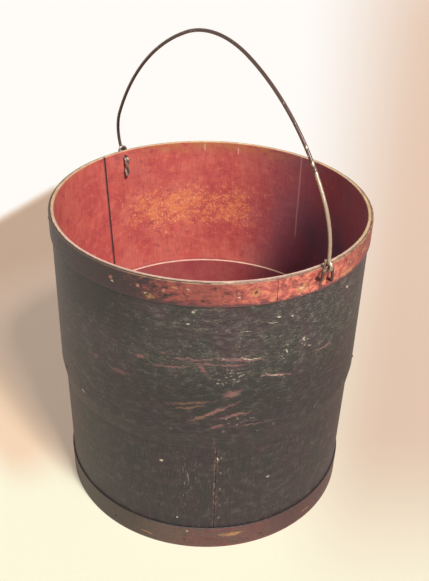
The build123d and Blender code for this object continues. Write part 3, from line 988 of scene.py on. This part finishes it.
@dataclass(frozen=True)
class StudioPaper:
    """Pale paper, creamy near the pail, with warm painted shade on its right, fading into the room far off.

    Attributes:
        name: The material's name.
        turn: The azimuth of the camera's right.
        room: The colour of the room.
        cream: Its colour in front of the pail.
        white: Its colour behind the pail.
        right_shade: Its colour on the right, darker and warmer: painted shade.
        eye: How far in front of the pail the point lies from which that painted shade fans out.
        horizon: The distances from the pail between which it fades into the room.
        own_light: How much of its colour is lit evenly by itself.
        shade: The pail's shade on it.
    """

    name: str
    turn: float
    room: Colour
    cream: Colour = (0.85, 0.83, 0.655)
    white: Colour = (0.86, 0.85, 0.84)
    right_shade: Colour = (0.67, 0.505, 0.40)
    eye: float = 750.0
    horizon: Span = (1800.0, 4500.0)
    own_light: float = 0.36
    shade: LongShade = LongShade()

    def make(self) -> bpy.types.Material:
        """Makes the finish.

        Returns:
            The material.
        """
        surface = Surface(self.name)
        bench = surface.bench
        right_x = math.cos(math.radians(self.turn))
        right_y = math.sin(math.radians(self.turn))
        across = surface.x * right_x + surface.y * right_y
        depth = surface.y * right_x - surface.x * right_y
        sheet = bench.blend(depth.step(-60.0, 700.0), self.cream, self.white)
        # Painted shade: the paper is darker and warmer on the camera's right.
        aside = across / (depth.at_least(-500.0) + self.eye)
        right_shade_share = aside.step(0.09, 0.27) * depth.step(-260.0, 40.0)
        sheet = bench.blend(right_shade_share, sheet, self.right_shade)
        sheet = self.shade.lay(sheet, across, depth)
        tooth = surface.noise(5.0, seed=91)
        sheet = bench.tone(sheet, tooth * 0.03 + 0.985)
        distant = surface.radius.step(*self.horizon)
        paper = bench.node("ShaderNodeBsdfPrincipled", values={"Base Color": sheet, "Roughness": 0.9})
        shown = bench.blend(distant, sheet, self.room)
        glow = bench.node("ShaderNodeEmission", values={"Color": shown, "Strength": 1.0})
        share = distant.at_least(self.own_light) * bench.looked_at()
        mixed = bench.node("ShaderNodeMixShader", values={0: share, 1: paper, 2: glow})
        bench.node("ShaderNodeOutputMaterial", values={"Surface": mixed})
        return bench.holder


# The pail


def dress(piece: str, material: bpy.types.Material) -> None:
    """Gives a CAD node its finish.

    Args:
        piece: The node's name.
        material: The finish.
    """
    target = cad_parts[piece]
    for slot in target.material_slots:
        slot.material = material
    LOG.info("%s: %s, %d faces", piece, material.name, len(target.data.polygons))


LOWER_WALL_PAINT = WallPaint(
    name="lower_wall_paint",
    ring=LOWER_WALL,
    brush=Grain.UPRIGHT,
    seam=-34.1,
    seam_lean=0.0,
    pink_marks=(Mark(-33.4, 60, 2.6, 60, 0.35),),
    ochre_marks=(Mark(-33.2, 110, 2.4, 60, 0.3),),
    pale_marks=(
        Mark(-53.7, 109, 3.2, 2.8, 1.1),
        Mark(-47.8, 37.5, 2.6, 2.2, 0.9),
        Mark(-13.7, 84, 2.6, 2.2, 0.8),
        Mark(-33.2, 116, 2.4, 4, 0.9),
    ),
    fleck_zones=(
        Mark(-44, 92, 44, 110, 0.9),
        Mark(-33.6, 80, 8, 150, 0.9),
        Mark(-21, 110, 34, 40, 0.55),
    ),
    fleck_stretch=(1.0, 1.0, 5.0),
    fleck_force=0.35,
)

UPPER_WALL_PAINT = WallPaint(
    name="upper_wall_paint",
    ring=UPPER_WALL,
    brush=Grain.ROUND,
    seam=163.8,
    seam_lean=0.059,
    pink_marks=(
        Mark(-60.2, 225.2, 16, 3.4, 0.75, -3.5),
        Mark(-50.7, 220.5, 44, 2.6, 0.7, 7),
        Mark(-43.3, 230, 38, 3, 0.8, 1.2),
        Mark(-26.9, 229.2, 50, 2.6, 0.9, -7.5),
        Mark(-36.7, 225.7, 40, 2.2, 0.8, -5.6),
        Mark(-39.8, 221.7, 15, 6, 0.8, -52.8),
        Mark(-31, 225, 22, 3, 0.85, -6),
        Mark(-13.9, 207, 30, 3.2, 1, -11.6),
        Mark(5.5, 218.4, 25, 3.2, 0.9, -2.9),
        Mark(-34.6, 175.5, 46, 4, 0.9, 26),
        Mark(-29.6, 193.7, 15, 8, 1, 16.1),
        Mark(-28.5, 169.7, 30, 3.6, 0.9, 11.4),
        Mark(-33.8, 157.9, 17, 5, 0.6, 18.6),
        Mark(-68.9, 200.7, 28, 8, 0.45),
        Mark(-79.7, 205, 15, 6, 0.45, 15.3),
        Mark(-22.3, 157.6, 60, 2.2, 0.55, -0.4),
    ),
    ochre_marks=(
        Mark(-43.4, 183.4, 42, 2.6, 0.95, 8),
        Mark(-43.4, 179, 30, 2.2, 0.85, 13),
        Mark(-37.8, 171.5, 34, 2.8, 0.9, 29),
        Mark(-52.4, 234.5, 8, 2.4, 0.7, 12),
        Mark(-27, 171, 14, 2, 0.7, 12),
        Mark(-25, 232, 8, 4, 0.6),
        Mark(-34.9, 138, 2.2, 17, 0.6),
    ),
    pale_marks=(
        Mark(-24, 229.8, 26, 1.6, 0.65, -7),
        Mark(-15.5, 207.8, 20, 1.4, 0.75, -12),
        Mark(-17.3, 263.4, 28, 1, 0.6, -11.9),
        Mark(-25.5, 257.9, 14, 1, 0.6, -2),
        Mark(-4.6, 238, 3.6, 2, 0.9, -62.2),
        Mark(-10.8, 230.4, 3.6, 2, 0.9, -64),
        Mark(-2.3, 228.2, 6, 1.8, 0.8, -13.6),
        Mark(-42.5, 278.1, 3.4, 2.2, 0.9),
        Mark(-44.2, 265.3, 3.4, 2.2, 0.9),
        Mark(-14.9, 267.6, 3.2, 2, 0.9, -26),
        Mark(-10.1, 265.4, 3.2, 2, 0.9, -31),
        Mark(-89, 150.4, 5, 3, 1),
        Mark(15.9, 268.3, 4, 2, 0.8, -32),
    ),
    fleck_zones=(
        Mark(-31.2, 212, 28, 18, 1.5),
        Mark(-12, 224, 16, 40, 1),
        Mark(-5, 233, 16, 34, 1),
        Mark(-26, 163, 70, 26, 0.8, 6),
        Mark(-2, 262, 60, 50, 0.7),
        Mark(-33, 232, 80, 14, 0.8),
        Mark(-119, 246, 44, 110, 0.85),
    ),
    fleck_stretch=(2.4, 2.4, 1.0),
    fleck_force=0.75,
)


@dataclass(frozen=True)
class BentWalls:
    """The two bent sheets and the tacks that hold them."""

    lower: WallPaint = LOWER_WALL_PAINT
    upper: WallPaint = UPPER_WALL_PAINT
    tack: TackHead = TackHead("wall_tack", (0.044, 0.036, 0.032), (0.17, 0.14, 0.12))

    def dress(self) -> None:
        """Paints both sheets and their tacks."""
        dress("lower_wall", self.lower.make())
        dress("upper_wall", self.upper.make())
        tack = self.tack.make()
        for piece in ("overlap_tacks", "lower_seam_tacks", "upper_seam_tacks"):
            dress(piece, tack)


RIM_HOOP_PAINT = HoopPaint(
    name="rim_hoop_paint",
    ring=Ring.of("rim_hoop"),
    red=(0.36, 0.074, 0.066),
    glow=(0.64, 0.200, 0.122),
    dark=(0.054, 0.024, 0.032),
    lower_lip=(0.075, 0.028, 0.038),
    lip_height=4.2,
    upper_lip=(0.090, 0.054, 0.040),
    red_arc=(-49.0, 50.0),
    red_force=1.2,
    lit_arc=(-26.0, 12.0),
    ochre_marks=(
        Mark(-56.5, 288, 12, 8, 0.6, -40),
        Mark(-48.5, 299.3, 10, 3, 0.6),
        Mark(-15.8, 294.1, 9, 2.4, 0.7, -72),
        Mark(-17.2, 289, 8, 2.4, 0.6, -80),
        Mark(-23.6, 295.6, 9, 8, 0.9),
        Mark(-8, 292, 16, 9, 0.7, 20),
        Mark(12, 288, 30, 6, 0.7),
        Mark(26, 294, 24, 6, 0.6),
    ),
    pale_marks=(
        Mark(-69.6, 296, 2.8, 2, 0.9),
        Mark(-69.6, 292.3, 2.4, 2, 0.9),
        Mark(-58.1, 290.6, 2.4, 2, 0.7),
        Mark(-44.5, 299, 6, 1.8, 0.35),
        Mark(-28.5, 292.3, 2.6, 2, 0.9),
        Mark(-8.4, 292.2, 2.8, 2.4, 0.9, -48),
        Mark(-6.2, 290.6, 2.8, 2.4, 0.9, -48),
        Mark(-8, 284.5, 2.4, 2, 0.8),
        Mark(5, 296, 7, 2.4, 0.8, 30),
    ),
    rust_marks=(
        Mark(-0.6, 289, 5, 15, 1),
        Mark(-23.6, 295.6, 3.2, 3.2, 1.1),
        Mark(-33, 297, 9, 5, 0.6),
    ),
    top_wear=0.8,
)

BOTTOM_HOOP_PAINT = HoopPaint(
    name="bottom_hoop_paint",
    ring=Ring.of("bottom_hoop"),
    red=(0.094, 0.026, 0.031),
    glow=(0.132, 0.050, 0.043),
    dark=(0.086, 0.050, 0.041),
    lower_lip=(0.150, 0.052, 0.048),
    lip_height=3.2,
    upper_lip=(0.014, 0.012, 0.011),
    red_arc=(-46.0, 70.0),
    red_force=0.85,
    lit_arc=(-56.0, -14.0),
    ochre_marks=(
        Mark(-27, 17, 22, 6, 0.8),
        Mark(-60, 8, 30, 4, 0.4),
        Mark(8, 10, 30, 4, 0.4),
    ),
    pale_marks=(Mark(-44, 21, 2.6, 2.2, 0.7),),
    rust_marks=(Mark(-36, 12, 26, 7, 0.5),),
    top_wear=0.0,
)


@dataclass(frozen=True)
class Hoops:
    """The rim hoop, the bottom hoop and the tacks through them."""

    rim: HoopPaint = RIM_HOOP_PAINT
    foot: HoopPaint = BOTTOM_HOOP_PAINT
    rim_tack: TackHead = TackHead("rim_tack", (0.24, 0.065, 0.052), (0.40, 0.26, 0.19))
    foot_tack: TackHead = TackHead("foot_tack", (0.080, 0.042, 0.036), (0.16, 0.11, 0.09))

    def dress(self) -> None:
        """Paints both hoops and their tacks."""
        dress("rim_hoop", self.rim.make())
        dress("bottom_hoop", self.foot.make())
        dress("rim_tacks", self.rim_tack.make())
        foot_tack = self.foot_tack.make()
        dress("bottom_hoop_tacks", foot_tack)
        dress("floor_nails", foot_tack)


@dataclass(frozen=True)
class PailFloor:
    """The two boards of the floor."""

    boards: tuple[str, ...] = ("floor_board_front", "floor_board_rear")

    def dress(self) -> None:
        """Paints the boards."""
        paint = BoardPaint("floor_board_paint").make()
        for board in self.boards:
            dress(board, paint)


@dataclass(frozen=True)
class WireBail:
    """The bail and the two wire ears that it swings in."""

    def dress(self) -> None:
        """Gives the wires their iron."""
        dress("bail", OldIron("bail_iron", rubbed_and_lit_below=380.0).make())
        front_iron = OldIron("front_ear_iron", rust_share=0.2, bare_share=0.3)
        # The rear ear's pale skin and large bare share are partly worn metal and partly a painted
        # highlight.
        rear_iron = OldIron("rear_ear_iron", skin=(0.30, 0.22, 0.20), rust_share=0.1, bare_share=0.66)
        dress("ear_front", front_iron.make())
        dress("ear_rear", rear_iron.make())


# The studio


def turned(degrees: float, axis: str) -> Matrix:
    """A turn about one axis."""
    return Matrix.Rotation(math.radians(degrees), 4, axis)


@dataclass(frozen=True)
class Lamp:
    """A far soft lamp that lights the pail evenly from one side.

    Attributes:
        name: Its name.
        bearing: Where it stands round the pail, in degrees from the camera's right.
        elevation: How high it stands, in degrees above the floor.
        spread: How wide it looks from the pail, in degrees.
        level: How brightly it lights a white surface that faces it, 1 for fully.
        colour: The colour of its light.
    """

    name: str
    bearing: float
    elevation: float
    spread: float
    level: float
    colour: Colour

    def hang(self, turn: float, target: Vector) -> None:
        """Makes the lamp.

        Args:
            turn: The azimuth of the camera's right, in degrees.
            target: What it looks at.
        """
        light = bpy.data.lights.new(self.name, "SUN")
        light.angle = math.radians(self.spread)
        light.energy = self.level * math.pi
        light.color = self.colour
        holder = bpy.data.objects.new(self.name, light)
        bpy.context.scene.collection.objects.link(holder)
        aim = turned(self.bearing + turn, "Z") @ turned(90.0 - self.elevation, "Y")
        away = Matrix.Translation((0.0, 0.0, LAMP_DISTANCE))
        holder.matrix_world = Matrix.Translation(target) @ aim @ away
        LOG.info("%s: level %.2f", self.name, self.level)


@dataclass(frozen=True)
class Studio:
    """The pale floor, the lamps, the room's own light and the camera."""

    camera_distance: float = 0.81441
    camera_elevation: float = 31.88
    camera_azimuth: float = 51.9
    camera_yaw: float = 0.39
    camera_roll: float = 1.57
    target_height: float = 0.20627
    lens: float = 50.65
    sensor: float = 36.0
    floor_radius: float = 6.0
    floor_sides: int = 96
    room_level: float = 0.17
    room_colour: Colour = (1.0, 0.965, 0.93)
    far_colour: Colour = (0.95, 0.93, 0.89)
    lamps: tuple[Lamp, ...] = (
        Lamp("key_lamp", -56.0, 47.0, 14.0, 1.42, (1.0, 0.965, 0.92)),
        Lamp("fill_lamp", -150.0, 25.0, 40.0, 0.10, (1.0, 0.97, 0.94)),
    )

    def lay_floor(self) -> None:
        """Makes the round pale floor."""
        mesh = bpy.data.meshes.new("studio_floor")
        sheet = bmesh.new()
        bmesh.ops.create_circle(
            sheet, cap_ends=True, segments=self.floor_sides, radius=self.floor_radius
        )
        sheet.to_mesh(mesh)
        sheet.free()
        floor = bpy.data.objects.new("studio_floor", mesh)
        bpy.context.scene.collection.objects.link(floor)
        paper = StudioPaper("studio_paper", self.camera_azimuth, self.far_colour)
        mesh.materials.append(paper.make())
        LOG.info("studio_floor: %.1f m across", 2 * self.floor_radius)

    def light_room(self) -> None:
        """Lights the room evenly, and paints it pale where the camera or a gloss sees it."""
        world = bpy.data.worlds.new("room")
        bpy.context.scene.world = world
        bench = Bench(world)
        light = bench.node(
            "ShaderNodeBackground", values={"Color": self.room_colour, "Strength": self.room_level}
        )
        backdrop = bench.node("ShaderNodeBackground", values={"Color": self.far_colour, "Strength": 1.0})
        mixed = bench.node("ShaderNodeMixShader", values={0: bench.looked_at(), 1: light, 2: backdrop})
        bench.node("ShaderNodeOutputWorld", values={"Surface": mixed})

    def place_camera(self) -> None:
        """Puts the camera where the photograph was taken from."""
        tilt = turned(90.0 - self.camera_elevation, "X")
        back = Matrix.Translation((0.0, 0.0, self.camera_distance))
        aim = turned(-self.camera_yaw, "Y") @ turned(self.camera_roll, "Z")
        target = Matrix.Translation((0.0, 0.0, self.target_height))
        lens = bpy.data.cameras.new("portrait_camera")
        lens.lens = self.lens
        lens.sensor_width = self.sensor
        lens.clip_start = 0.01
        lens.clip_end = 50.0
        camera = bpy.data.objects.new("portrait_camera", lens)
        bpy.context.scene.collection.objects.link(camera)
        camera.matrix_world = turned(self.camera_azimuth, "Z") @ target @ tilt @ back @ aim
        bpy.context.scene.camera = camera

    def build(self) -> None:
        """Sets up the whole studio."""
        self.place_camera()
        self.lay_floor()
        self.light_room()
        target = Vector((0.0, 0.0, self.target_height))
        for lamp in self.lamps:
            lamp.hang(self.camera_azimuth, target)
        bpy.context.scene.view_settings.view_transform = "Standard"


def main() -> None:
    """Dresses the pail, piece by piece, and sets up the studio."""
    logging.basicConfig(level=logging.INFO, format="%(name)s %(message)s")
    Studio().build()
    BentWalls().dress()
    Hoops().dress()
    PailFloor().dress()
    WireBail().dress()


if __name__ == "__main__":
    main()
